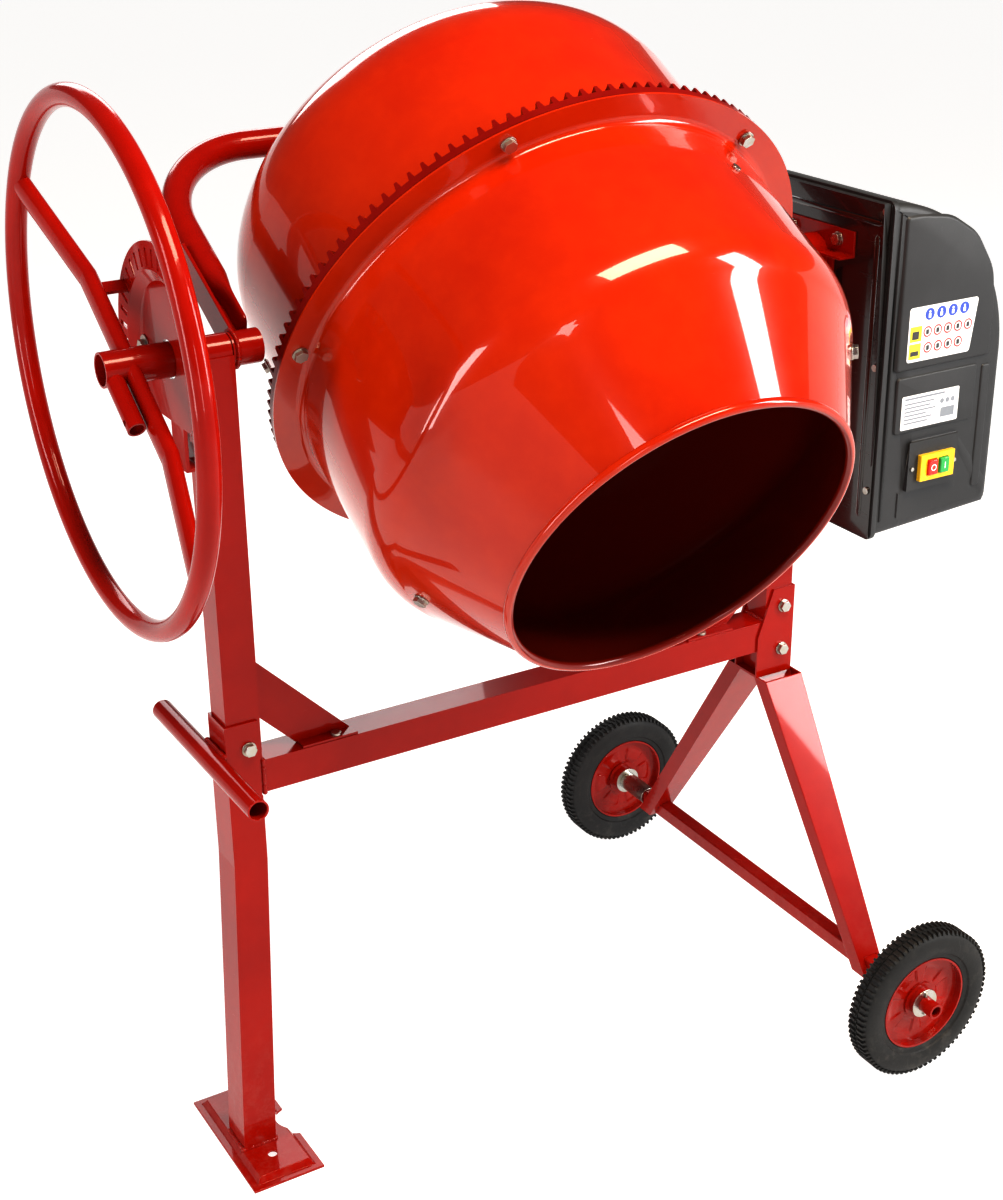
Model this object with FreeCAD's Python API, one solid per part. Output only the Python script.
"""Tilting-drum concrete mixer, millimetres, +Z up.

The origin is on the ground, straight under the centre of the drum.
+X runs along the tilt axis to the motor box, -X to the hand wheel, -Y to the user in front.
At rest the drum's mouth points forward and down, by TILT degrees.
"""
import FreeCAD, Part
import math
import os

V = FreeCAD.Vector
X, Y, Z = V(1, 0, 0), V(0, 1, 0), V(0, 0, 1)

# ---- driving dimensions -------------------------------------------------------------
TILT = 29.65              # drum axis below horizontal at rest, degrees
AXIS_H = 958.0            # tilt axis above the ground
POST_X = 367.0            # centre of each post, left and right of the drum
POST_W = 40.0             # square posts and cross beam
POST_WALL = 2.0
BEAM_TOP = 496.0          # top face of the cross beam

DRUM_R = 280.0            # outside of the front shell's cylinder
POT_R = 275.0             # outside of the rear pot
SHEET = 2.0               # drum sheet
FLANGE_R = 312.5          # outside of the drum's middle flange
FLANGE_S = 50.0           # front face of that flange, ahead of the tilt axis
MOUTH_R = 200.0           # outside of the rolled mouth lip
MOUTH_S = 362.0           # plane of the mouth
LIP_R = 5.0               # rolled lip's wire radius
SHOULDER_S = 205.0        # where the front cylinder starts to turn in
CONE_START = (264.0, 250.0)   # radius and place where the front cone starts
POT_CORNER_S = -120.0     # where the rear pot starts to turn in
POT_CORNER_R = 110.0

RING_TEETH = 124
PINION_TEETH = 13
PITCH_R = 298.0           # ring gear pitch radius at mid-face
RING_FACE = (286.0, 311.0)    # inner and outer radius of the ring gear's teeth

PIPE_R = 18.0             # outside of the bearing tube, stub and hub, 36 mm pipe
SHAFT_R = 14.0            # tilt shaft
TRUNNION_R = 20.0         # right-hand hollow trunnion, which the drive shaft passes through
DRIVE_SHAFT_R = 8.0
YOKE_R = 16.0             # yoke tube
YOKE_X = POST_X - 45.0            # yoke arm centre line
YOKE_BACK = -301.0        # yoke cross tube centre line, behind the drum
YOKE_BEND = 120.0         # bend radius of the yoke tube

HANDWHEEL_X = -(POST_X + 109.5)      # hand wheel's plane
HANDWHEEL_R = 273.0       # outside of its rim
HANDWHEEL_TUBE_R = 11.5
SPOKE_X = -(POST_X + 84.0)          # plane of the spoke's dished middle
SPOKE_ANGLE = 34.4        # spoke's slope in the wheel's plane, degrees
WHEEL_PULL = 10.0         # travel that frees the lock

TRACK = 326.5             # middle of each ground wheel from the centre line
TYRE_R = 100.0
TYRE_W = 34.0
DISC_R = 62.0
WHEEL_X = POST_X + 2.0
AXLE_R = 10.0

BRACKET_T = 3.0           # leg bracket's sheet
BRACKET_IN = POST_X - 32.0        # inboard edge of its cheeks
BRACKET_TOP, BRACKET_BOTTOM = 539.0, 420.0

FOOT_L, FOOT_W = 185.0, 88.0  # foot plate along Y and along X
FOOT_C = (-(POST_X + 20.5), -23.5)      # its centre
LEG_FOOT = (-(POST_X + 29.5), -31.0)    # stand leg's centre at the foot
LEG_KINK = 373.0              # height where the leg starts to lean
LEG_TOP = 548.0               # top of the leg's channel on the post
LEG_WALL = 3.0

HANDLE_R = 12.0
HANDLE_Y = 135.0
HANDLE_Z = 506.0

BOX_X = POST_X + 45.0             # motor box, inner plate's free face
BOX_OUT = BOX_X + 193.0           # outermost face of the cover
BOX_HALF = 126.0          # half the cover's width along Y
BOX_TOP = 1038.0
BOX_BOTTOM = 632.0
BOX_ARC = 200.0           # radius of the cover's big outer corner
COVER_WALL = 3.5
PLATE = 2.0               # inner plate's sheet
PULLEY_R = 66.0
MOTOR_SHAFT_R = 6.0
MOTOR_PULLEY_R = 12.0
MOTOR_Z = 735.0
MOTOR_R = 60.0
BELT_X = (BOX_X + 8.0, BOX_X + 24.0)   # belt's two edges
BELT_T = 3.0

SWITCH_C = (BOX_X + 93.0, 712.5)     # centre of the switch on the cover's front face, X and Z

# ---- named clearances ---------------------------------------------------------------
RUN = 0.05                # radial running fit
GAP = 0.3                 # between curved faces of different bodies
SIDE_GAP = 1.0            # axial gap between a turning tube and a fixed one
LOCK_GAP = 0.5            # lock tongue to index plate, at rest

os.makedirs("parts", exist_ok=True)


# ---- helpers ------------------------------------------------------------------------
def save(name, *solids):
    """Write one node from one or more separate solids."""
    shape = solids[0] if len(solids) == 1 else Part.makeCompound(list(solids))
    shape.exportStep(f"parts/{name}.step")


def box(x0, x1, y0, y1, z0, z1):
    return Part.makeBox(x1 - x0, y1 - y0, z1 - z0, V(x0, y0, z0))


def rod(radius, start, end):
    """Solid cylinder between two points."""
    run = V(*end) - V(*start)
    return Part.makeCylinder(radius, run.Length, V(*start), run)


def pipe(outer, inner, start, end):
    return rod(outer, start, end).cut(rod(inner, start, end))


def polygon(points):
    """Closed flat face through points given as 3-D tuples."""
    corners = [V(*p) for p in points]
    return Part.Face(Part.makePolygon(corners + corners[:1]))


def prism(points, run):
    return polygon(points).extrude(V(*run))


def hexagon(across, start, end):
    """Hexagonal prism, across flats, between two points."""
    axis = V(*end) - V(*start)
    side = axis.cross(Z if abs(axis.normalize().dot(Z)) < 0.9 else X).normalize()
    other = axis.cross(side)
    corners = []
    for k in range(6):
        a = math.radians(60 * k)
        corners.append(V(*start) + (side * math.cos(a) + other * math.sin(a)) * (across / math.sqrt(3)))
    return Part.Face(Part.makePolygon(corners + corners[:1])).extrude(V(*end) - V(*start))


def revolve_s(wire_points):
    """Turn a closed outline of (radius, s) points and ("arc", mid, end) steps about the drum axis."""
    edges = []
    last = wire_points[0]
    for step in wire_points[1:] + wire_points[:1]:
        if step[0] == "arc":
            mid, end = step[1], step[2]
            edges.append(Part.Arc(rs(last), rs(mid), rs(end)).toShape())
            last = end
        else:
            edges.append(Part.makeLine(rs(last), rs(step)))
            last = step
    return Part.Face(Part.Wire(edges)).revolve(V(0, 0, 0), Z, 360)


def rs(point):
    return V(point[0], 0, point[1])


def arc_mid(centre, start, end):
    """Middle point of the short arc from start to end about centre, all (r, s)."""
    radius = math.hypot(start[0] - centre[0], start[1] - centre[1])
    mx = (start[0] + end[0]) / 2 - centre[0]
    my = (start[1] + end[1]) / 2 - centre[1]
    k = radius / math.hypot(mx, my)
    return (centre[0] + mx * k, centre[1] + my * k)


def tilted(shape):
    """Put a shape drawn with the drum axis on +Z, tilt axis at the origin, into its rest pose."""
    placed = shape.copy()
    placed.rotate(V(0, 0, 0), X, 90 + TILT)
    placed.translate(V(0, 0, AXIS_H))
    return placed


def mirrored_x(shape):
    return shape.mirror(V(0, 0, 0), X)


def box_tube_x(x0, x1, half, z_mid, wall):
    outer = box(x0, x1, -half, half, z_mid - half, z_mid + half)
    inner = box(x0, x1, -half + wall, half - wall, z_mid - half + wall, z_mid + half - wall)
    return outer.cut(inner)


def bolt(seat, direction, radius, length, across, head=None):
    """Hex bolt: the head stands on the seat point, the shank runs against direction."""
    d = V(*direction)
    s = V(*seat)
    h = head or radius * 1.3
    shank = rod(radius, s - d * length, s)
    return hexagon(across, s, s + d * h).fuse(shank).removeSplitter()


def washer(seat, direction, outer, inner, thick):
    return pipe(outer, inner, seat, V(*seat) + V(*direction) * thick)


def nut(seat, direction, radius, across, thick):
    s = V(*seat)
    end = s + V(*direction) * thick
    return hexagon(across, s, end).cut(rod(radius, s, end))


# ---- derived values -----------------------------------------------------------------
HALF = POST_W / 2
BEAM_Z = BEAM_TOP - HALF
BEAM_END = POST_X - HALF
POST_BOTTOM = BEAM_TOP - POST_W
AXIS = V(0, 0, AXIS_H)
STUB_END = FLANGE_R + 0.5          # inboard end of each yoke stub
STUB_OUT = BEAM_END - SIDE_GAP / 2  # outboard end of the left stub
BEARING_IN = BEAM_END + SIDE_GAP / 2
BOLT_R, BOLT_HOLE_R, BOLT_AF = 4.0, 4.2, 13.0
WASHER_R, WASHER_T = 8.5, 1.6
LEG_IN = POST_X + HALF              # post's outer face, from the centre
BEARING_R_OUT = TRUNNION_R + 5      # outside of the right-hand bearing tube
RIGHT_POST_LOW = BRACKET_BOTTOM + BRACKET_T   # the right post stands on its leg bracket's floor
MOTOR_BRACKET_X = BOX_X - BRACKET_T  # back of the motor bracket's web
MOTOR_BRACKET_HALF = 69.0
BRACKET_BOLTS = [(sy * (MOTOR_BRACKET_HALF - 27.0), AXIS_H + 25.0) for sy in (-1, 1)]


# ---- frame --------------------------------------------------------------------------
LEFT_BOLT = (-POST_X + 4, LEG_TOP - 32)
RIGHT_BOLTS = [(POST_X + 6, BEAM_TOP + 18), (POST_X + 6, BEAM_TOP - 42)]


def make_posts():
    """Square tube posts, saddle-cut under the tilt bearings and drilled for the leg bolts."""
    for side, name, holes, pipe_r, low in ((-1, "left_post", [LEFT_BOLT], PIPE_R, POST_BOTTOM),
                                           (1, "right_post", RIGHT_BOLTS, BEARING_R_OUT, RIGHT_POST_LOW)):
        xc = side * POST_X
        outer = box(xc - HALF, xc + HALF, -HALF, HALF, low, AXIS_H)
        core = HALF - POST_WALL
        post = outer.cut(box(xc - core, xc + core, -core, core, low, AXIS_H))
        post = post.cut(rod(pipe_r, (xc - HALF, 0, AXIS_H), (xc + HALF, 0, AXIS_H)))
        if pipe_r < HALF:
            post = post.cut(box(xc - HALF, xc + HALF, -HALF, HALF, AXIS_H - 1, AXIS_H))
        for hx, hz in holes:
            post = post.cut(rod(BOLT_HOLE_R, (hx, -HALF, hz), (hx, HALF, hz)))
        save(name, post)


def make_cross_beam():
    beam = box_tube_x(-BEAM_END, BEAM_END, HALF, BEAM_Z, POST_WALL)
    for side in (-1, 1):
        for x, y in BRACE_SCREWS:
            beam = beam.cut(rod(SCREW_R, (side * x, y, BEAM_Z), (side * x, y, BEAM_TOP)))
    save("cross_beam", beam)


BRACE_UP, BRACE_W, BRACE_T = 118.0, 68.0, 3.0
SCREW_R = 3.0
BRACE_SCREWS = [(BEAM_END - BRACE_UP + 24, -12.0)]


def make_corner_braces():
    """Diagonal flat braces from post to beam, each with a folded foot on the beam."""
    braces = []
    for side in (-1, 1):
        xp = side * BEAM_END
        far = side * (BEAM_END - BRACE_UP)
        near = side * (BEAM_END - BRACE_UP + BRACE_W)
        web = prism([(xp, -BRACE_T, BEAM_TOP + BRACE_UP), (far, -BRACE_T, BEAM_TOP),
                     (near, -BRACE_T, BEAM_TOP), (xp, -BRACE_T, BEAM_TOP + BRACE_UP - BRACE_W)],
                    (0, BRACE_T, 0))
        foot = box(min(far, near), max(far, near), -HALF + 1, -BRACE_T, BEAM_TOP, BEAM_TOP + BRACE_T)
        for px, y in BRACE_SCREWS:
            foot = foot.cut(rod(SCREW_R, (side * px, y, BEAM_TOP), (side * px, y, BEAM_TOP + BRACE_T)))
        braces.append(web.fuse(foot).removeSplitter())
    save("corner_braces", *braces)


def brace_screws():
    """Dome-headed screws that hold the braces' feet on the beam."""
    screws = []
    for side in (-1, 1):
        for px, y in BRACE_SCREWS:
            x, top = side * px, BEAM_TOP + BRACE_T
            head = rod(SCREW_R * 2, (x, y, top), (x, y, top + SCREW_R))
            screws.append(head.fuse(rod(SCREW_R, (x, y, BEAM_TOP - 8), (x, y, top))))
    return screws


def make_stand_leg():
    """Channel round the post's foot, a box leg under it, and a lean from the kink down."""
    x0, x1 = -LEG_IN - LEG_WALL, -LEG_IN + POST_W - LEG_WALL
    y1 = HALF + LEG_WALL
    top = POST_BOTTOM - 2
    channel = box(x0, x1 - 1, -y1, y1, top, LEG_TOP)
    channel = channel.cut(box(-LEG_IN, x1, -HALF, HALF, top, LEG_TOP))
    bx, bz = LEFT_BOLT
    channel = channel.cut(rod(BOLT_HOLE_R, (bx, -y1, bz), (bx, y1, bz)))
    leg = box(x0, x1, -y1, y1, LEG_KINK, top)
    leg = leg.cut(box(x0 + LEG_WALL, x1 - LEG_WALL, -HALF, HALF, LEG_KINK, top))
    foot = FOOT_TOP
    lean = (LEG_FOOT[0] - (x0 + x1) / 2, LEG_FOOT[1], foot - LEG_KINK)
    ring = polygon([(x0, -y1, LEG_KINK), (x1, -y1, LEG_KINK), (x1, y1, LEG_KINK), (x0, y1, LEG_KINK)])
    bore = polygon([(x0 + LEG_WALL, -HALF, LEG_KINK), (x1 - LEG_WALL, -HALF, LEG_KINK),
                    (x1 - LEG_WALL, HALF, LEG_KINK), (x0 + LEG_WALL, HALF, LEG_KINK)])
    lower = ring.cut(bore).extrude(V(*lean))
    save("stand_leg", channel.fuse(leg).fuse(lower).removeSplitter())


FOOT_SHEET, FOOT_RISE, FOOT_BORDER, FOOT_SLOPE = 3.0, 7.0, 8.0, 5.0
FOOT_TOP = FOOT_SHEET + FOOT_RISE
NOTCH_R = 27.0
ANCHOR_R = 5.5
ANCHOR_AT = (FOOT_C[0] - 2.5, FOOT_C[1] - 50.0)


def frustum(x0, x1, y0, y1, z0, z1, inset):
    low = Part.makePolygon([V(x0, y0, z0), V(x1, y0, z0), V(x1, y1, z0), V(x0, y1, z0), V(x0, y0, z0)])
    a, b, c, d = x0 + inset, x1 - inset, y0 + inset, y1 - inset
    high = Part.makePolygon([V(a, c, z1), V(b, c, z1), V(b, d, z1), V(a, d, z1), V(a, c, z1)])
    return Part.makeLoft([low, high], True, True)


def make_foot_plate():
    """Pressed foot: flat border, sloped step, raised middle, notch at the right edge, anchor hole."""
    x0, x1 = FOOT_C[0] - FOOT_W / 2, FOOT_C[0] + FOOT_W / 2
    y0, y1 = FOOT_C[1] - FOOT_L / 2, FOOT_C[1] + FOOT_L / 2
    b = FOOT_BORDER
    plate = box(x0, x1, y0, y1, 0, FOOT_SHEET)
    plate = plate.fuse(frustum(x0 + b, x1 - b, y0 + b, y1 - b, FOOT_SHEET, FOOT_TOP, FOOT_SLOPE))
    hollow = frustum(x0 + b + 1, x1 - b - 1, y0 + b + 1, y1 - b - 1, 0, FOOT_RISE, FOOT_SLOPE)
    plate = plate.cut(hollow)
    plate = plate.cut(rod(NOTCH_R, (x1 + 8, FOOT_C[1], 0), (x1 + 8, FOOT_C[1], FOOT_TOP + 1)))
    ax, ay = ANCHOR_AT
    plate = plate.cut(rod(ANCHOR_R, (ax, ay, 0), (ax, ay, FOOT_TOP + 1)))
    save("foot_plate", plate.removeSplitter())


def make_transport_handle():
    x = -LEG_IN - LEG_WALL - HANDLE_R
    save("transport_handle", pipe(HANDLE_R, HANDLE_R - 2, (x, -HANDLE_Y, HANDLE_Z), (x, HANDLE_Y, HANDLE_Z)))


WHEEL_LEG_D = 26.0                 # depth of each leg, measured level
WHEEL_LEG_TOP_W, WHEEL_LEG_LOW_W = 58.0, 32.0
WHEEL_LEG_TOP_Y, WHEEL_LEG_LOW_Y = 26.0, 238.0
AXLE_BEAM = 20.0


def make_leg_bracket():
    """Channel bolted on the right post: two cheeks, an outer web and a floor that the legs stand under."""
    y1 = HALF + BRACKET_T
    x1 = LEG_IN + BRACKET_T
    outline = [(x1, BRACKET_BOTTOM), (x1, BRACKET_TOP), (BRACKET_IN + 22, BRACKET_TOP),
               (BRACKET_IN, BEAM_TOP - 20), (BRACKET_IN, BRACKET_BOTTOM)]
    parts = []
    for y in (-y1, HALF):
        parts.append(prism([(x, y, z) for x, z in outline], (0, BRACKET_T, 0)))
    web = box(LEG_IN, x1, -HALF, HALF, BRACKET_BOTTOM, BRACKET_TOP)
    floor = box(BRACKET_IN, LEG_IN, -HALF, HALF, BRACKET_BOTTOM, BRACKET_BOTTOM + BRACKET_T)
    bracket = parts[0].fuse(parts[1]).fuse(web).fuse(floor)
    for bx, bz in RIGHT_BOLTS:
        bracket = bracket.cut(rod(BOLT_HOLE_R, (bx, -y1, bz), (bx, y1, bz)))
    save("leg_bracket", bracket.removeSplitter())


def make_wheel_legs():
    """Tapered box legs from the bracket's floor down to the axle beam, and the axle between them."""
    top_z, low_z = BRACKET_BOTTOM, TYRE_R - AXLE_BEAM / 2 - 2
    xc = POST_X
    for side, name in ((-1, "front_wheel_leg"), (1, "back_wheel_leg")):
        sections = []
        for inset in (0.0, 2.0):
            wires = []
            for z, y, w in ((top_z, WHEEL_LEG_TOP_Y, WHEEL_LEG_TOP_W),
                            (low_z, WHEEL_LEG_LOW_Y, WHEEL_LEG_LOW_W)):
                hw, ht = w / 2 - inset, WHEEL_LEG_D / 2 - inset
                ya, yb = side * (y - ht), side * (y + ht)
                wires.append(Part.makePolygon([V(xc - hw, ya, z), V(xc + hw, ya, z), V(xc + hw, yb, z),
                                               V(xc - hw, yb, z), V(xc - hw, ya, z)]))
            sections.append(Part.makeLoft(wires, True, True))
        leg = sections[0].cut(sections[1])
        hole = AXLE_BEAM / 2
        leg = leg.cut(box(WHEEL_X - hole, WHEEL_X + hole, -TRACK, TRACK, TYRE_R - hole, TYRE_R + hole))
        save(name, leg)
    h = AXLE_BEAM / 2
    reach = WHEEL_LEG_LOW_Y + WHEEL_LEG_D / 2 + 4
    beam = box(WHEEL_X - h, WHEEL_X + h, -reach, reach, TYRE_R - h, TYRE_R + h)
    beam = beam.cut(box(WHEEL_X - h + 2, WHEEL_X + h - 2, -reach + 4, reach - 4, TYRE_R - h + 2, TYRE_R + h - 2))
    save("axle_beam", beam)
    stubs, pins, rings = [], [], []
    for side in (-1, 1):
        end = TRACK + TYRE_W / 2 + 16
        stub = pipe(AXLE_R, AXLE_R - 3, (WHEEL_X, side * reach, TYRE_R), (WHEEL_X, side * end, TYRE_R))
        pin_y = side * (HUB_END + 3.4)
        hole = rod(PIN_R, (WHEEL_X, pin_y, TYRE_R - AXLE_R - 6), (WHEEL_X, pin_y, TYRE_R + AXLE_R + 6))
        stubs.append(stub.cut(hole))
        pins.append(hole)
        for y in (HUB_END + 0.2, HUB_IN - 0.2 - WASHER_T):
            rings.append(pipe(19, AXLE_R, (WHEEL_X, side * y, TYRE_R), (WHEEL_X, side * (y + WASHER_T), TYRE_R)))
        rings.append(pipe(13, AXLE_R, (WHEEL_X, side * reach, TYRE_R),
                          (WHEEL_X, side * (HUB_IN - 0.2 - WASHER_T), TYRE_R)))
    save("axle_stubs", *stubs)
    return rings + pins


HUB_END = TRACK + TYRE_W / 2 - 6     # outer end of the wheel's hub sleeve
HUB_IN = TRACK - TYRE_W / 2 + 2      # inner end
PIN_R = 1.6


def make_ground_wheels():
    """Solid rubber tyre on a pressed steel disc wheel with a plain bore."""
    for side, name in ((-1, "front"), (1, "back")):
        c = side * TRACK
        w = TYRE_W / 2
        well = [(DISC_R, -12), (DISC_R, 12), (DISC_R - 2.5, 12), (DISC_R - 2.5, 3),
                (DISC_R - 14, 1.5), (24, 1.5), (24, 4.5), (AXLE_R + 8, 4.5),
                (AXLE_R + 8, HUB_END - TRACK), (AXLE_R + RUN, HUB_END - TRACK),
                (AXLE_R + RUN, HUB_IN - TRACK), (AXLE_R + 8, HUB_IN - TRACK), (AXLE_R + 8, -4.5),
                (24, -4.5), (24, -1.5), (DISC_R - 14, -1.5), (DISC_R - 2.5, -3), (DISC_R - 2.5, -12)]
        tyre = [(DISC_R, -12), (DISC_R, 12), (DISC_R + 3, w - 3), (TYRE_R - 14, w), (TYRE_R - 4, w - 2),
                (TYRE_R, w - 7), (TYRE_R, 1.5), (TYRE_R - 2, 0), (TYRE_R, -1.5), (TYRE_R, 7 - w),
                (TYRE_R - 4, 2 - w), (TYRE_R - 14, -w), (DISC_R + 3, 3 - w)]
        for piece, outline in (("rim", well), ("tyre", tyre)):
            face = polygon([(WHEEL_X + r, c + side * t, TYRE_R) for r, t in outline])
            solid = face.revolve(V(WHEEL_X, c, TYRE_R), Y, 360)
            save(f"{name}_{piece}", solid)


def make_frame_bolts(axle_parts):
    """Bolts, washers and nuts of the frame, with the axles' washers, spacers and split pins."""
    bolts, washers, nuts = [], [], []
    face = HALF + LEG_WALL
    for bx, bz in [LEFT_BOLT] + RIGHT_BOLTS:
        for side in (-1, 1):
            washers.append(washer((bx, side * face, bz), (0, side, 0), WASHER_R, BOLT_R, WASHER_T))
        head = (bx, -face - WASHER_T, bz)
        bolts.append(bolt(head, (0, -1, 0), BOLT_R, 2 * face + 2 * WASHER_T + 9, BOLT_AF))
        nuts.append(nut((bx, face + WASHER_T, bz), (0, 1, 0), BOLT_R, BOLT_AF, 6.5))
    save("frame_bolts", *bolts, *washers, *nuts, *brace_screws(), *bracket_bolts(), *index_bolts(), *axle_parts)


def make_bearing_tubes():
    """Fixed tubes on the post tops that carry the tilting shaft and the hollow trunnion."""
    left = pipe(PIPE_R, SHAFT_R + RUN, (-LEG_IN, 0, AXIS_H), (-BEARING_IN, 0, AXIS_H))
    right = pipe(BEARING_R_OUT, TRUNNION_R + RUN, (BEARING_IN, 0, AXIS_H), (MOTOR_BRACKET_X, 0, AXIS_H))
    save("bearing_tubes", left, right)


# ---- index plate of the tilt lock ---------------------------------------------------
INDEX_R = 118.0
INDEX_X = -(POST_X + 42.0)           # outboard face of the plate's flat middle
INDEX_T = 3.0
INDEX_BORE = PIPE_R + 2.0    # clear of the hand wheel's hub
INDEX_FLAT_R, INDEX_RIM_R = 78.0, 90.0   # the slope from the flat middle to the raised rim
INDEX_RAISE = 8.0          # how far its rim stands out
INDEX_FLAT_Z = AXIS_H - 66.0
NOTCHES = 14
NOTCH_STEP = 9.0           # degrees between notches
NOTCH_W = 5.0
NOTCH_FIRST = SPOKE_ANGLE - 4 * NOTCH_STEP   # the tongue faces the fifth notch at rest
LOCK_BOLT = (64.0, AXIS_H - 2.0)


def make_index_plate():
    """Pressed disc with a raised, notched rim, cut off flat below, on a bracket from the post."""
    x, t = INDEX_X, INDEX_T
    high = x - INDEX_RAISE
    outline = [(INDEX_BORE, x), (INDEX_FLAT_R, x), (INDEX_RIM_R, high), (INDEX_R, high),
               (INDEX_R, high + t), (INDEX_RIM_R + 1, high + t), (INDEX_FLAT_R + 1, x + t), (INDEX_BORE, x + t)]
    face = polygon([(px, 0, AXIS_H + r) for r, px in outline])
    disc = face.revolve(AXIS, X, 360)
    disc = disc.cut(box(x - 40, x + 40, -200, 200, AXIS_H - 200, INDEX_FLAT_Z))
    for k in range(NOTCHES):
        a = NOTCH_FIRST + NOTCH_STEP * k
        slot = box(high - 5, high + 10, 93, 111, -NOTCH_W / 2, NOTCH_W / 2)
        slot.rotate(V(0, 0, 0), X, a)
        slot.translate(AXIS)
        disc = disc.cut(slot)
    y, z = LOCK_BOLT
    disc = disc.cut(rod(BOLT_R, (x - 30, y, z), (x + 30, y, z)))
    save("index_plate", disc)
    # bracket: strap under the plate's flat middle, standing off from the post
    back = x + t
    strap = box(back, -LEG_IN, -17, 17, AXIS_H - 116, AXIS_H - 60)
    strap = strap.cut(box(back + 4, -LEG_IN - 4, -17, 17, AXIS_H - 112, AXIS_H - 64))
    save("index_bracket", strap)


def index_bolts():
    """Washered bolt through the index plate, with its nut behind."""
    y, z = LOCK_BOLT
    head = bolt((INDEX_X - WASHER_T, y, z), (-1, 0, 0), BOLT_R, WASHER_T + INDEX_T + 8, BOLT_AF)
    return [head, washer((INDEX_X, y, z), (-1, 0, 0), 12, BOLT_R, WASHER_T),
            nut((INDEX_X + INDEX_T, y, z), (1, 0, 0), BOLT_R, BOLT_AF, 6.5)]


# ---- yoke and tilt shaft ------------------------------------------------------------
NECK_R = 8.0
NECK_IN, NECK_OUT = -(POST_X + 53.0), -(POST_X + 89.0)
HUB_LIP = (-(POST_X + 65.0), -(POST_X + 57.0))


def make_tilt_shaft():
    """Stepped shaft through the left bearing tube; the hand wheel slides on its neck."""
    shaft = rod(SHAFT_R, (NECK_IN, 0, AXIS_H), (-STUB_END, 0, AXIS_H))
    neck = rod(NECK_R, (NECK_OUT, 0, AXIS_H), (NECK_IN, 0, AXIS_H))
    save("tilt_shaft", shaft.fuse(neck))
    stop = rod(14.5, (NECK_OUT - 3, 0, AXIS_H), (NECK_OUT, 0, AXIS_H))
    head = hexagon(13.0, (NECK_OUT - 8, 0, AXIS_H), (NECK_OUT - 3, 0, AXIS_H))
    save("shaft_end_screw", stop.fuse(head))


GUSSET_TOP = -104.0
WEB_T = 4.0


def make_yoke():
    """Bent yoke tube behind the drum, with a stub or trunnion and a folded gusset at each end."""
    arm_end = YOKE_BACK + YOKE_BEND
    cross = YOKE_X - YOKE_BEND
    k = math.sqrt(0.5) * YOKE_BEND
    path = []
    path.append(Part.makeLine(V(-YOKE_X, 0, GUSSET_TOP), V(-YOKE_X, 0, arm_end)))
    path.append(Part.Arc(V(-YOKE_X, 0, arm_end), V(-cross - k, 0, arm_end - k),
                         V(-cross, 0, YOKE_BACK)).toShape())
    path.append(Part.makeLine(V(-cross, 0, YOKE_BACK), V(cross, 0, YOKE_BACK)))
    path.append(Part.Arc(V(cross, 0, YOKE_BACK), V(cross + k, 0, arm_end - k),
                         V(YOKE_X, 0, arm_end)).toShape())
    path.append(Part.makeLine(V(YOKE_X, 0, arm_end), V(YOKE_X, 0, GUSSET_TOP)))
    wire = Part.Wire(path)
    shells = []
    for radius in (YOKE_R, YOKE_R - 2.5):
        circle = Part.Wire(Part.makeCircle(radius, V(-YOKE_X, 0, GUSSET_TOP), Z))
        shells.append(wire.makePipeShell([circle], True, False))
    save("yoke_tube", tilted(shells[0].cut(shells[1])))
    # boss plate on the cross tube, which carries the drum spindle
    boss_back, boss_front = YOKE_BACK, SPINDLE_BACK
    boss = rod(30, (0, 0, boss_back), (0, 0, boss_front))
    boss = boss.cut(rod(YOKE_R, (-60, 0, YOKE_BACK), (60, 0, YOKE_BACK)))
    boss = boss.cut(rod(SPINDLE_R, (0, 0, boss_back - 5), (0, 0, boss_front)))
    save("spindle_boss", tilted(max(boss.Solids, key=lambda one: one.Volume)))
    gussets = []
    for side, stub_r in ((-1, PIPE_R), (1, TRUNNION_R)):
        outer = YOKE_X + YOKE_R
        web = prism([(outer, -15, GUSSET_TOP - 40), (outer, 15, GUSSET_TOP - 40), (outer, 17, -2),
                     (outer, -17, -2)], (WEB_T, 0, 0))
        flange = prism([(outer, -2, GUSSET_TOP), (YOKE_X - YOKE_R, -2, GUSSET_TOP),
                        (STUB_END + 4, -2, -8), (outer, -2, -8)], (0, WEB_T, 0))
        gusset = web.fuse(flange)
        gusset = gusset.cut(rod(stub_r, (STUB_END - 10, 0, 0), (outer + 20, 0, 0)))
        gusset = max(gusset.Solids, key=lambda one: one.Volume)
        gussets.append(tilted(gusset if side > 0 else mirrored_x(gusset)))
    save("yoke_gussets", *gussets)
    stub = pipe(PIPE_R, SHAFT_R, (-STUB_OUT, 0, AXIS_H), (-STUB_END, 0, AXIS_H))
    trunnion = pipe(TRUNNION_R, TRUNNION_R - 4, (STUB_END, 0, AXIS_H), (MOTOR_BRACKET_X - 2, 0, AXIS_H))
    save("yoke_stubs", stub, trunnion)
    bushes = []
    for x0, x1 in ((STUB_END, STUB_END + 16), (MOTOR_BRACKET_X - 18, MOTOR_BRACKET_X - 2)):
        bushes.append(pipe(TRUNNION_R - 4, DRIVE_SHAFT_R + RUN, (x0, 0, AXIS_H), (x1, 0, AXIS_H)))
    save("shaft_bushes", *bushes)


# ---- drum ---------------------------------------------------------------------------
SPINDLE_R = 12.0
SPINDLE_BACK = -262.0              # shoulder where the spindle leaves its boss
POT_BOTTOM = POT_CORNER_S - POT_CORNER_R
DRUM_HUB_R = 45.0
HUB_SCREW_R = 3.2
BEARING_R = 20.0                   # outside of the drum's bearings


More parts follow.
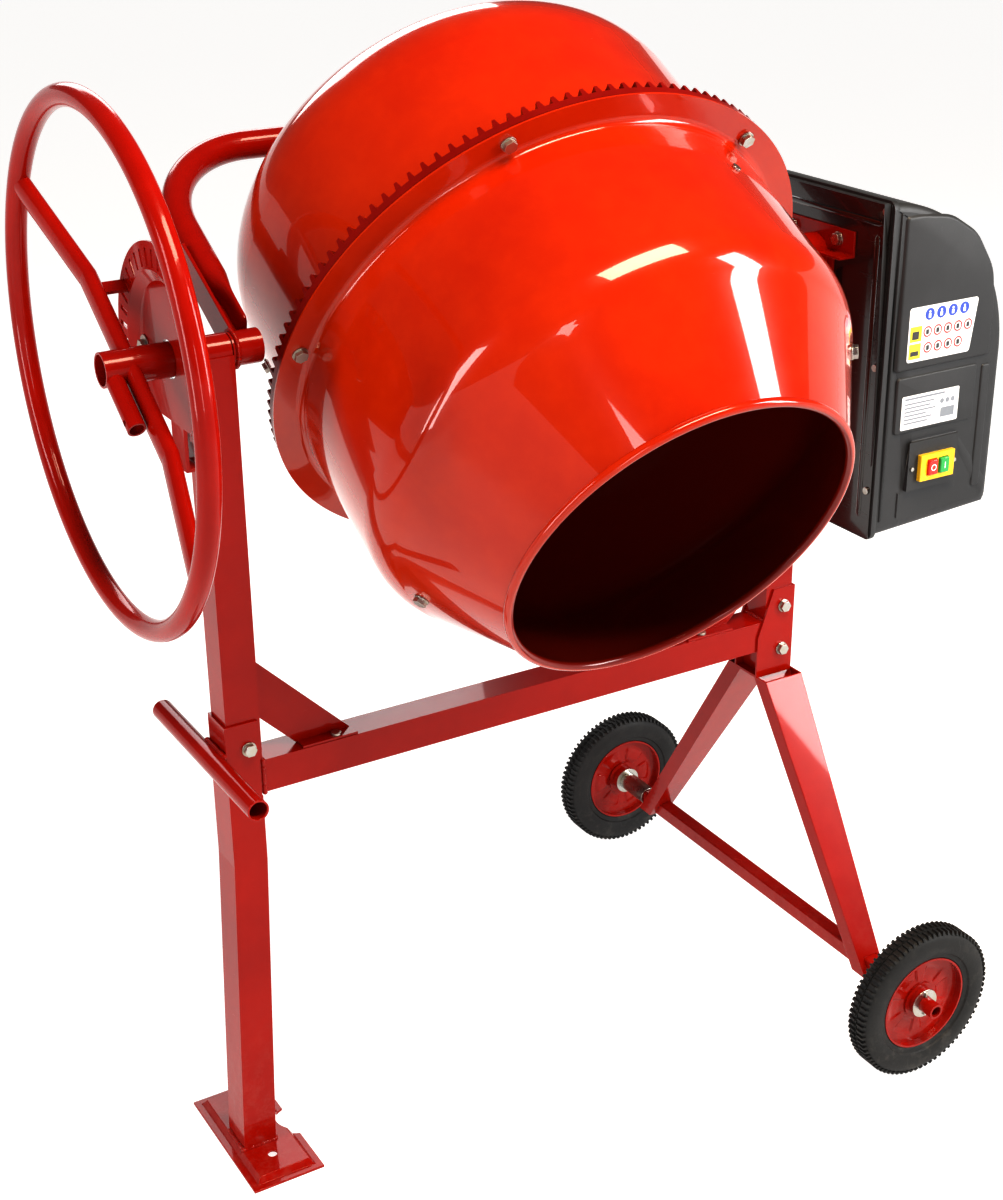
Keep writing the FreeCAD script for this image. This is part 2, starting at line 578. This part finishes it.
def parted(shell, s):
    """The shell below and above a level of its axis, where its two pieces are butt-welded."""
    reach = 2 * FLANGE_R
    below = box(-reach, reach, -reach, reach, s - 2 * reach, s)
    return shell.common(below), shell.cut(below)


def make_drum():
    """Rear pot and front shell, joined at a middle flange; rolled lip round the mouth."""
    t = SHEET
    bend = 8.0
    s0 = FLANGE_S
    # front shell: flange, bend, cylinder, shoulder, cone
    cone_r, cone_s = CONE_START
    lip_r = MOUTH_R - LIP_R
    shoulder = (DRUM_R - 4.6, SHOULDER_S + 26)
    slope = math.atan2(cone_r - lip_r, MOUTH_S - LIP_R - cone_s)
    nx, ns = t * math.cos(slope), t * math.sin(slope)
    end_s = MOUTH_S - LIP_R
    front = revolve_s([
        (FLANGE_R, s0), (DRUM_R + bend, s0),
        ("arc", arc_mid((DRUM_R + bend, s0 + bend), (DRUM_R + bend, s0), (DRUM_R, s0 + bend)),
         (DRUM_R, s0 + bend)),
        (DRUM_R, SHOULDER_S), ("arc", shoulder, (cone_r, cone_s)), (lip_r, end_s),
        (lip_r - nx, end_s - ns), (cone_r - nx, cone_s - ns),
        ("arc", (shoulder[0] - t, shoulder[1] - 0.7), (DRUM_R - t, SHOULDER_S)),
        (DRUM_R - t, s0 + bend - t),
        ("arc", arc_mid((DRUM_R + bend - t, s0 + bend - t), (DRUM_R - t, s0 + bend - t),
                        (DRUM_R + bend - t, s0 - t)), (DRUM_R + bend - t, s0 - t)),
        (FLANGE_R, s0 - t)])
    lip = Part.makeTorus(MOUTH_R - LIP_R, LIP_R, V(0, 0, MOUTH_S - LIP_R), Z)
    screw_hole = rod(SHELL_SCREW_R, (DRUM_R - 10, 0, SHELL_SCREW_S), (DRUM_R + 5, 0, SHELL_SCREW_S))
    front = drill_blades(drill_ring(front)).cut(turned(screw_hole, SHELL_SCREW_ANGLE))
    band, cone = parted(front.fuse(lip), SHOULDER_S)
    save("drum_front", tilted(band))
    save("drum_cone", tilted(cone))
    # rear pot: flange, cylinder, round corner, flat bottom with the spindle hole
    f1 = s0 - t
    corner = POT_CORNER_R
    c_r, c_s = POT_R - corner, POT_CORNER_S
    hole = DRUM_HUB_R - 15
    out_arc = ("arc", arc_mid((c_r, c_s), (POT_R, c_s), (c_r, POT_BOTTOM)), (c_r, POT_BOTTOM))
    in_arc = ("arc", arc_mid((c_r, c_s), (c_r, POT_BOTTOM + t), (POT_R - t, c_s)), (POT_R - t, c_s))
    pot = revolve_s([(FLANGE_R - 2, f1), (FLANGE_R - 2, f1 - t), (POT_R, f1 - t), (POT_R, c_s), out_arc,
                     (hole, POT_BOTTOM), (hole, POT_BOTTOM + t), (c_r, POT_BOTTOM + t), in_arc,
                     (POT_R - t, f1)])
    for k in range(HUB_BOLTS):
        x, y = around(DRUM_HUB_BOLT_R, k, HUB_BOLTS, 0)
        pot = pot.cut(rod(HUB_SCREW_R, (x, y, POT_BOTTOM), (x, y, POT_BOTTOM + t)))
    base, wall = parted(drill_blades(drill_ring(pot)), POT_CORNER_S)
    save("drum_pot", tilted(wall))
    save("drum_base", tilted(base))


RING_BOLTS, RING_BOLT_R, RING_BOLT_START = 6, 295.0, 54.0
HUB_BOLTS, DRUM_HUB_BOLT_R = 4, 37.0


def around(radius, k, count, start):
    a = math.radians(start + 360.0 * k / count)
    return radius * math.cos(a), radius * math.sin(a)


def drill_ring(solid):
    for k in range(RING_BOLTS):
        x, y = around(RING_BOLT_R, k, RING_BOLTS, RING_BOLT_START)
        solid = solid.cut(rod(BOLT_R, (x, y, -100), (x, y, 100)))
    return solid


# gear blanks share one apex, where the drum axis crosses the tilt axis
PITCH_S = PITCH_R * PINION_TEETH / RING_TEETH
RING_ADD, RING_DED = 3.4, 5.2
PINION_ADD, PINION_DED = 3.2, 5.2
RING_TIP_HALF, RING_ROOT_HALF = 1.5, 3.4
PINION_TIP_HALF, PINION_ROOT_HALF = 1.1, 2.9
TOOTH_INSET = 0.4                  # the ring's teeth stop this short of its inner and outer walls
GEAR_BACK = FLANGE_S - 2 * SHEET


def tooth(sections):
    wires = []
    for corners in sections:
        wires.append(Part.makePolygon([V(*c) for c in corners] + [V(*corners[0])]))
    return Part.makeLoft(wires, True, True)


def make_ring_gear():
    """Bevel ring: teeth point to the drum's bottom, all lines run to the shared apex."""
    inner, outer = RING_FACE
    root = PITCH_S + RING_DED
    body = Part.Face(Part.makePolygon([
        V(inner, 0, root * inner / PITCH_R), V(outer, 0, root * outer / PITCH_R),
        V(outer, 0, GEAR_BACK), V(inner, 0, GEAR_BACK), V(inner, 0, root * inner / PITCH_R)]))
    body = body.revolve(V(0, 0, 0), Z, 360)
    tip = PITCH_S - RING_ADD
    sections = []
    for r in (inner + TOOTH_INSET, outer - TOOTH_INSET):
        k = r / PITCH_R
        base = (root + 0.6) * k
        sections.append([(r, -RING_ROOT_HALF * k, base), (r, -RING_TIP_HALF * k, tip * k),
                         (r, RING_TIP_HALF * k, tip * k), (r, RING_ROOT_HALF * k, base)])
    one = tooth(sections)
    teeth = []
    for k in range(RING_TEETH):
        copy = one.copy()
        copy.rotate(V(0, 0, 0), Z, 360.0 * (k + 0.5) / RING_TEETH)
        teeth.append(copy)
    gear = drill_ring(body.multiFuse(teeth))
    save("ring_gear", tilted(gear))


def make_pinion():
    """13-tooth bevel pinion on the tilt axis, in mesh with the ring at +X."""
    x0, x1 = RING_FACE[0] - 1.0, RING_FACE[1] - 1.5
    root = PITCH_S - PINION_DED
    tip = PITCH_S + PINION_ADD
    cone = Part.makeCone(root * x0 / PITCH_R, root * x1 / PITCH_R, x1 - x0, V(x0, 0, 0), X)
    sections = []
    for x in (x0, x1):
        k = x / PITCH_R
        low = (root - 1.0) * k
        sections.append([(x, -PINION_ROOT_HALF * k, low), (x, -PINION_TIP_HALF * k, tip * k),
                         (x, PINION_TIP_HALF * k, tip * k), (x, PINION_ROOT_HALF * k, low)])
    one = tooth(sections)
    teeth = []
    for k in range(PINION_TEETH):
        copy = one.copy()
        copy.rotate(V(0, 0, 0), X, 360.0 * k / PINION_TEETH)
        teeth.append(copy)
    pinion = cone.multiFuse(teeth)
    pinion = pinion.cut(rod(DRIVE_SHAFT_R, (x0 - 1, 0, 0), (x1 + 1, 0, 0)))
    save("pinion", tilted(pinion))
    save("drive_shaft", rod(DRIVE_SHAFT_R, (x0 - 4, 0, AXIS_H), (BELT_X[1] + 8, 0, AXIS_H)))


def ring_bolts():
    """Washered hex bolts through the drum's flanges and the ring gear."""
    bolts = []
    for k in range(RING_BOLTS):
        x, y = around(RING_BOLT_R, k, RING_BOLTS, RING_BOLT_START)
        reach = FLANGE_S - GEAR_BACK + 6
        one = bolt((x, y, FLANGE_S + WASHER_T), (0, 0, 1), BOLT_R, reach, BOLT_AF, 5.0)
        bolts.append(tilted(one.fuse(washer((x, y, FLANGE_S), (0, 0, 1), WASHER_R, BOLT_R, WASHER_T))))
    return bolts


BLADE_T, BLADES, BLADE_START = 4.0, 2, 30.3
BLADE_TAB = 15.0                   # half the width of a blade's bolted tabs
BLADE_CLEAR = 0.5                  # from the shell's inside to a tab's flat face
BLADE_BOLT_S = 264.0               # front bolts, on the cone
BLADE_POT_S = -96.0                # rear bolts, on the pot
SHELL_SCREW_S, SHELL_SCREW_ANGLE, SHELL_SCREW_R = 107.0, 65.0, 2.5


def wall_frame(radius, s, slope):
    """Point on a wall, its outward normal and its direction toward the mouth, all in the XZ plane."""
    return V(radius, 0, s), V(math.cos(slope), 0, math.sin(slope)), V(-math.sin(slope), 0, math.cos(slope))


def blade_seats():
    """Wall frames of a blade's two bolts, on the front cone and on the rear pot."""
    cone_r, cone_s = CONE_START
    slope = math.atan2(cone_r - (MOUTH_R - LIP_R), MOUTH_S - LIP_R - cone_s)
    radius = cone_r - (BLADE_BOLT_S - cone_s) * math.tan(slope)
    return [wall_frame(radius, BLADE_BOLT_S, slope), wall_frame(POT_R, BLADE_POT_S, 0.0)]


def blade_turns():
    return [BLADE_START + 360.0 * k / BLADES for k in range(BLADES)]


def turned(shape, angle):
    copy = shape.copy()
    copy.rotate(V(0, 0, 0), Z, angle)
    return copy


def drill_blades(solid):
    for at, out, _ in blade_seats():
        for angle in blade_turns():
            solid = solid.cut(turned(rod(BOLT_R, at - out * 20, at + out * 5), angle))
    return solid


def make_blades():
    """Mixing paddles, each on a tab under the front cone and on another inside the pot."""
    face = SHEET + BLADE_CLEAR
    tabs, hardware = [], []
    for at, out, along in blade_seats():
        corner = at - out * (face + BLADE_T) - along * 14 - Y * BLADE_TAB
        across = Y * (2 * BLADE_TAB)
        tab = prism([corner, corner + along * 30, corner + along * 30 + across, corner + across], out * BLADE_T)
        tabs.append(tab.cut(rod(BOLT_R, at - out * 20, at)))
        one = bolt(at + out * WASHER_T, out, BOLT_R, WASHER_T + face + BLADE_T + 9, BOLT_AF, 5.0)
        hardware.append(one.fuse(washer(at, out, WASHER_R, BOLT_R, WASHER_T)))
        hardware.append(nut(at - out * (face + BLADE_T), -out, BOLT_R, BOLT_AF, 6.5))
    at, out, along = blade_seats()[0]
    front = [at - out * (face + BLADE_T / 2) + along * k for k in (16, -14)]
    rear = POT_R - face - BLADE_T / 2
    edge = DRUM_R - 32
    outline = front + [V(edge, 0, 228), V(edge, 0, 60), V(rear, 0, BLADE_POT_S + 16), V(rear, 0, BLADE_POT_S - 14),
                       V(rear - 42, 0, BLADE_POT_S - 22), V(edge - 58, 0, -60), V(edge - 66, 0, 60),
                       V(edge - 52, 0, 190), V(edge - 23, 0, 268)]
    paddle = prism([c + Y * (BLADE_TAB - BLADE_T) for c in outline], (0, BLADE_T, 0))
    blade = paddle.fuse(tabs[0]).fuse(tabs[1]).removeSplitter()
    bolts = [turned(one, angle) for angle in blade_turns() for one in hardware]
    head = rod(SHELL_SCREW_R * 2, (DRUM_R, 0, SHELL_SCREW_S), (DRUM_R + 2.5, 0, SHELL_SCREW_S))
    shank = rod(SHELL_SCREW_R, (DRUM_R - SHEET, 0, SHELL_SCREW_S), (DRUM_R, 0, SHELL_SCREW_S))
    bolts.append(turned(head.fuse(shank), SHELL_SCREW_ANGLE))
    save("mixing_blades", *[tilted(turned(blade, angle)) for angle in blade_turns()])
    save("drum_bolts", *[tilted(one) for one in bolts], *ring_bolts(), *hub_bolts())


def make_drum_hub():
    """Bearing hub bolted under the pot, running on a fixed spindle."""
    back = SPINDLE_BACK + SIDE_GAP
    hub = rod(DRUM_HUB_R, (0, 0, POT_BOTTOM - 6), (0, 0, POT_BOTTOM))
    hub = hub.fuse(rod(26, (0, 0, back), (0, 0, POT_BOTTOM - 6)))
    hub = hub.fuse(rod(DRUM_HUB_R - 15, (0, 0, POT_BOTTOM), (0, 0, POT_BOTTOM + SHEET)))
    hub = hub.cut(rod(BEARING_R, (0, 0, back - 1), (0, 0, POT_BOTTOM + SHEET)))
    for k in range(HUB_BOLTS):
        x, y = around(DRUM_HUB_BOLT_R, k, HUB_BOLTS, 0)
        hub = hub.cut(rod(HUB_SCREW_R, (x, y, POT_BOTTOM - 7), (x, y, POT_BOTTOM)))
    save("drum_hub", tilted(hub.removeSplitter()))
    top = POT_BOTTOM + SHEET
    save("drum_bearings", *[tilted(pipe(BEARING_R, SPINDLE_R + RUN, (0, 0, a), (0, 0, a + 10)))
                            for a in (back, top - 10)])
    spindle = rod(SPINDLE_R, (0, 0, YOKE_BACK + YOKE_R + 0.5), (0, 0, top + 6))
    save("drum_spindle", tilted(spindle))


def hub_bolts():
    """Small hex bolts from inside the pot into the bearing hub's flange."""
    bolts = []
    for k in range(HUB_BOLTS):
        x, y = around(DRUM_HUB_BOLT_R, k, HUB_BOLTS, 0)
        seat = (x, y, POT_BOTTOM + SHEET)
        bolts.append(tilted(bolt(seat, (0, 0, 1), HUB_SCREW_R, SHEET + 12, 10.0, 4.0)))
    return bolts


# ---- hand wheel ---------------------------------------------------------------------
def make_handwheel():
    """Tube rim, one flattened spoke dished inboard, sliding hub, lever socket and lock tongue."""
    rim_major = HANDWHEEL_R - HANDWHEEL_TUBE_R
    rim = Part.makeTorus(rim_major, HANDWHEEL_TUBE_R, V(HANDWHEEL_X, 0, AXIS_H), X)
    rim_core = Part.makeTorus(rim_major, HANDWHEEL_TUBE_R - 2, V(HANDWHEEL_X, 0, AXIS_H), X)
    save("handwheel_rim", rim.cut(rim_core))
    # spoke along local Y, then turned to its slope
    half_w, half_t = 15.0, 9.0
    stations = [(-rim_major, HANDWHEEL_X), (-118, SPOKE_X), (118, SPOKE_X), (rim_major, HANDWHEEL_X)]
    wires = []
    for y, x in stations:
        ellipse = Part.Ellipse(V(x, y, half_w), V(x + half_t, y, 0), V(x, y, 0))
        wires.append(Part.Wire(ellipse.toShape()))
    spoke = None
    for low, high in zip(wires[:-1], wires[1:]):
        piece = Part.makeLoft([low, high], True, True)
        spoke = piece if spoke is None else spoke.fuse(piece)
    spoke.rotate(V(0, 0, 0), X, SPOKE_ANGLE)
    spoke.translate(AXIS)
    hub_out, hub_in = HANDWHEEL_X - 3.5, -405.0
    hub_solid = rod(PIPE_R, (hub_out, 0, AXIS_H), (hub_in, 0, AXIS_H))
    spoke = spoke.cut(rim).cut(hub_solid)
    hub = hub_solid.cut(rod(PIPE_R - 2.4, (hub_out, 0, AXIS_H), (HUB_LIP[0], 0, AXIS_H)))
    hub = hub.cut(rod(NECK_R + RUN, (HUB_LIP[0], 0, AXIS_H), (HUB_LIP[1], 0, AXIS_H)))
    hub = hub.cut(rod(SHAFT_R + RUN, (HUB_LIP[1], 0, AXIS_H), (hub_in, 0, AXIS_H)))
    save("handwheel_hub", hub)
    # lever socket: short tube with a cross hole, along the spoke on its outboard side
    socket_x = SPOKE_X - half_t - 10.5
    socket = pipe(9.5, 7.5, (socket_x, -78, 0), (socket_x, -14, 0))
    socket = socket.cut(rod(3.5, (socket_x - 12, -68, 0), (socket_x, -68, 0)))
    socket.rotate(V(0, 0, 0), X, SPOKE_ANGLE)
    socket.translate(AXIS)
    save("lever_socket", socket.cut(hub_solid))
    # tongue: a plate on the spoke's back that points at a notch of the index plate
    face = INDEX_X - INDEX_RAISE
    tongue = box(SPOKE_X + half_t - 1.0, face - LOCK_GAP, 95, 109, -2, 2)
    tongue.rotate(V(0, 0, 0), X, SPOKE_ANGLE)
    tongue.translate(AXIS)
    save("handwheel_spoke", *spoke.Solids, tongue.cut(spoke))


SPRING_R, SPRING_WIRE_R, SPRING_TURNS = 11.4, 1.3, 3


def make_return_spring():
    """Coil on the shaft's neck, drawn at its pressed length, against the end screw's washer."""
    length = HUB_LIP[0] - NECK_OUT - WHEEL_PULL - GAP - 2 * SPRING_WIRE_R
    coil = Part.makeHelix(length / SPRING_TURNS, length, SPRING_R)
    start = Part.Wire(Part.makeCircle(SPRING_WIRE_R, V(SPRING_R, 0, 0), Y))
    spring = Part.Wire(coil).makePipeShell([start], True, True)
    spring.rotate(V(0, 0, 0), Y, 90)
    spring.translate(V(NECK_OUT + SPRING_WIRE_R, 0, AXIS_H))
    save("return_spring", spring)


# ---- motor box ----------------------------------------------------------------------
def make_motor_bracket():
    """Horizontal channel on the right bearing tube that the motor box is bolted to."""
    x0, x1 = MOTOR_BRACKET_X, BOX_X
    half, low, high = MOTOR_BRACKET_HALF, AXIS_H + 7, AXIS_H + 38
    web = box(x0, x1, -half, half, low, high)
    web = web.fuse(box(x0, x1, -34, 34, AXIS_H - 34, low))
    lip = box(LEG_IN + 2, x0, -half, half, low, low + BRACKET_T)
    lip = lip.cut(box(LEG_IN, x1, -BEARING_R_OUT - 1, BEARING_R_OUT + 1, AXIS_H, AXIS_H + 20))
    bracket = web.fuse(lip)
    bracket = bracket.cut(rod(DRIVE_SHAFT_R + 2, (x0, 0, AXIS_H), (x1, 0, AXIS_H)))
    for y, z in BRACKET_BOLTS:
        bracket = bracket.cut(rod(BOLT_R, (x0, y, z), (x1, y, z)))
    save("motor_bracket", bracket.removeSplitter())


def bracket_bolts():
    """Washered bolts from the motor bracket through the box's inner plate."""
    bolts = []
    x0 = MOTOR_BRACKET_X
    for y, z in BRACKET_BOLTS:
        one = bolt((x0 - WASHER_T, y, z), (-1, 0, 0), BOLT_R, 10.6, BOLT_AF, 5.0)
        bolts.append(one.fuse(washer((x0, y, z), (-1, 0, 0), WASHER_R, BOLT_R, WASHER_T)))
    return bolts


def box_outline(inset, x0):
    """Closed (x, z) outline of the motor box seen from the front, with its big outer corner."""
    r = BOX_ARC - inset
    cx, cz = BOX_OUT - BOX_ARC, BOX_TOP - BOX_ARC
    start = V(max(cx, x0), 0, cz + math.sqrt(r * r - (max(cx, x0) - cx) ** 2))
    end = V(BOX_OUT - inset, 0, cz)
    a = math.radians(45)
    mid = V(cx + r * math.cos(a), 0, cz + r * math.sin(a))
    corner = V(BOX_OUT - inset, 0, BOX_BOTTOM + 14 + inset)
    low = V(x0, 0, BOX_BOTTOM + inset)
    edges = [Part.Arc(start, mid, end).toShape(), Part.makeLine(end, corner), Part.makeLine(corner, low),
             Part.makeLine(low, start)]
    return Part.Face(Part.Wire(edges))


def make_motor_box():
    """Steel inner plate and a moulded plastic cover over the motor and belt."""
    x0 = BOX_X + PLATE
    outer = box_outline(0, x0).extrude(V(0, 2 * BOX_HALF, 0))
    inner = box_outline(COVER_WALL, x0).extrude(V(0, 2 * (BOX_HALF - COVER_WALL), 0))
    outer.translate(V(0, -BOX_HALF, 0))
    inner.translate(V(0, -BOX_HALF + COVER_WALL, 0))
    cover = outer.cut(inner)
    sx, sz = SWITCH_C
    boss = box(sx - 42, sx + 36, -BOX_HALF - BOSS_H, -BOX_HALF, sz - 28, sz + 34)
    cover = cover.fuse(boss)
    hole = box(sx - SWITCH_W / 2, sx + SWITCH_W / 2, -BOX_HALF - 10, -BOX_HALF + 20, sz - SWITCH_H / 2,
               sz + SWITCH_H / 2)
    cover = cover.cut(hole)
    gx, gy = GLAND_AT
    cover = cover.cut(rod(GLAND_R, (gx, gy, BOX_BOTTOM - 5), (gx, gy, BOX_BOTTOM + 40)))
    save("box_cover", cover.removeSplitter())
    z1 = BOX_TOP - 1.0
    plate = box(BOX_X, x0, -BOX_HALF, BOX_HALF, BOX_BOTTOM, z1)
    plate = plate.cut(rod(DRIVE_SHAFT_R + 2, (BOX_X, 0, AXIS_H), (x0, 0, AXIS_H)))
    holes = BRACKET_BOLTS + MOTOR_BOLTS
    for y, z in holes:
        plate = plate.cut(rod(BOLT_R, (BOX_X, y, z), (x0, y, z)))
    for y, z in BOX_SCREWS:
        plate = plate.cut(rod(2.0, (BOX_X, y, z), (x0, y, z)))
    save("box_back_plate", plate)
    screws = []
    for y, z in BOX_SCREWS:
        head = rod(4.5, (BOX_X - 2.4, y, z), (BOX_X, y, z))
        screws.append(head.fuse(rod(2.0, (BOX_X, y, z), (x0, y, z))))
    for px in SWITCH_SCREW_X:
        screws.append(rod(2.6, (px, -BOX_HALF - BOSS_H - 2, sz), (px, -BOX_HALF - BOSS_H, sz)))
    save("box_screws", *screws)


MOTOR_BOLTS = [(sy * 38.0, MOTOR_Z + sz * 38.0) for sy in (-1, 1) for sz in (-1, 1)]
BOX_SCREWS = [(sy * (BOX_HALF - 8.0), z) for sy in (-1, 1) for z in (692.0, 845.0, 1028.0)]
SWITCH_W, SWITCH_H = 54.0, 33.0
SWITCH_SCREW_X = (SWITCH_C[0] - 36.0, SWITCH_C[0] + 31.5)
BOSS_H = 6.0                      # raised panel round the switch
BUTTON_W, BUTTON_H, BUTTON_TRAVEL = 14.0, 19.0, 3.0
GLAND_AT, GLAND_R = (BOX_X + 88.0, -70.0), 8.0
LABELS = [(BOX_X + 37.0, BOX_X + 137.0, 847.0, 913.0), (BOX_X + 37.0, BOX_X + 127.0, 763.0, 805.0)]
LABEL_T = 0.4


def make_drive():
    """Motor on standoffs, small pulley, belt and the large pulley on the drive shaft."""
    b0, b1 = BELT_X
    x0 = BOX_X + PLATE
    front = b1 + 10
    save("motor_body", rod(MOTOR_R, (front, 0, MOTOR_Z), (front + 120, 0, MOTOR_Z)).cut(
        rod(MOTOR_SHAFT_R + RUN, (front, 0, MOTOR_Z), (front + 100, 0, MOTOR_Z))))
    posts = []
    for y, z in MOTOR_BOLTS:
        posts.append(rod(BOLT_R, (BOX_X - 2, y, z), (x0, y, z)).fuse(rod(6, (x0, y, z), (front, y, z))))
    save("motor_standoffs", *posts)
    save("capacitor", rod(20, (x0, 98, 700), (x0 + 80, 98, 700)))
    save("motor_shaft", rod(MOTOR_SHAFT_R, (b0 - 2, 0, MOTOR_Z), (front + 99, 0, MOTOR_Z)))
    save("motor_pulley", pipe(MOTOR_PULLEY_R, MOTOR_SHAFT_R, (b0, 0, MOTOR_Z), (b1, 0, MOTOR_Z)))
    rim = pipe(PULLEY_R, PULLEY_R - 8, (b0, 0, AXIS_H), (b1, 0, AXIS_H))
    disc = pipe(PULLEY_R - 8, 18, (b0 + 5, 0, AXIS_H), (b1 - 5, 0, AXIS_H))
    hub = pipe(18, DRIVE_SHAFT_R, (b0, 0, AXIS_H), (b1, 0, AXIS_H))
    save("large_pulley", rim.fuse(disc).fuse(hub).removeSplitter())
    # belt: two tangent runs and two arcs, as one loop
    d = AXIS_H - MOTOR_Z
    loops = []
    for extra in (GAP + BELT_T, GAP):
        big, small = PULLEY_R + extra, MOTOR_PULLEY_R + extra
        a = math.asin((big - small) / d)
        ca, sa = math.cos(a), math.sin(a)
        top = [V(0, big * ca * k, AXIS_H - big * sa) for k in (1, -1)]
        low = [V(0, small * ca * k, MOTOR_Z - small * sa) for k in (1, -1)]
        edges = [Part.Arc(top[0], V(0, 0, AXIS_H + big), top[1]).toShape(), Part.makeLine(top[1], low[1]),
                 Part.Arc(low[1], V(0, 0, MOTOR_Z - small), low[0]).toShape(), Part.makeLine(low[0], top[0])]
        loops.append(Part.Face(Part.Wire(edges)).extrude(V(b1 - b0 - 2, 0, 0)))
    belt = loops[0].cut(loops[1])
    belt.translate(V(b0 + 1, 0, 0))
    save("drive_belt", belt)


def make_switch_and_labels():
    """Yellow switch body with a red and a green button, two blank labels and the cable gland."""
    sx, sz = SWITCH_C
    y0, y1 = -BOX_HALF - 12, -BOX_HALF + 16
    body = box(sx - SWITCH_W / 2, sx + SWITCH_W / 2, y0, y1, sz - SWITCH_H / 2, sz + SWITCH_H / 2)
    for k, name in ((-1, "stop_button"), (1, "start_button")):
        bx = sx + k * 9.0
        hw, hh = BUTTON_W / 2, BUTTON_H / 2
        well = box(bx - hw - 0.2, bx + hw + 0.2, y0, y0 + 16, sz - hh - 0.2, sz + hh + 0.2)
        body = body.cut(well)
        save(name, box(bx - hw, bx + hw, y0 - 3.5, y0 + 12, sz - hh, sz + hh))
    save("switch_body", body)
    front = -BOX_HALF
    labels = [box(x0, x1, front - LABEL_T, front, z0, z1) for x0, x1, z0, z1 in LABELS]
    save("front_labels", *labels)
    gx, gy = GLAND_AT
    slope = BOX_BOTTOM + 14 * (gx - BOX_X - PLATE) / (BOX_OUT - BOX_X - PLATE)
    gland = rod(GLAND_R, (gx, gy, slope - 12), (gx, gy, slope + 14))
    gland = gland.fuse(hexagon(22.0, (gx, gy, slope - 12), (gx, gy, slope - 2)))
    save("cable_gland", gland.cut(rod(4.0, (gx, gy, slope - 12), (gx, gy, slope + 14))))


make_posts()
make_cross_beam()
make_corner_braces()
make_stand_leg()
make_foot_plate()
make_transport_handle()
make_leg_bracket()
axle_parts = make_wheel_legs()
make_ground_wheels()
make_frame_bolts(axle_parts)
make_bearing_tubes()
make_index_plate()
make_tilt_shaft()
make_yoke()
make_drum()
make_ring_gear()
make_pinion()
make_blades()
make_drum_hub()
make_handwheel()
make_return_spring()
make_motor_bracket()
make_motor_box()
make_drive()
make_switch_and_labels()
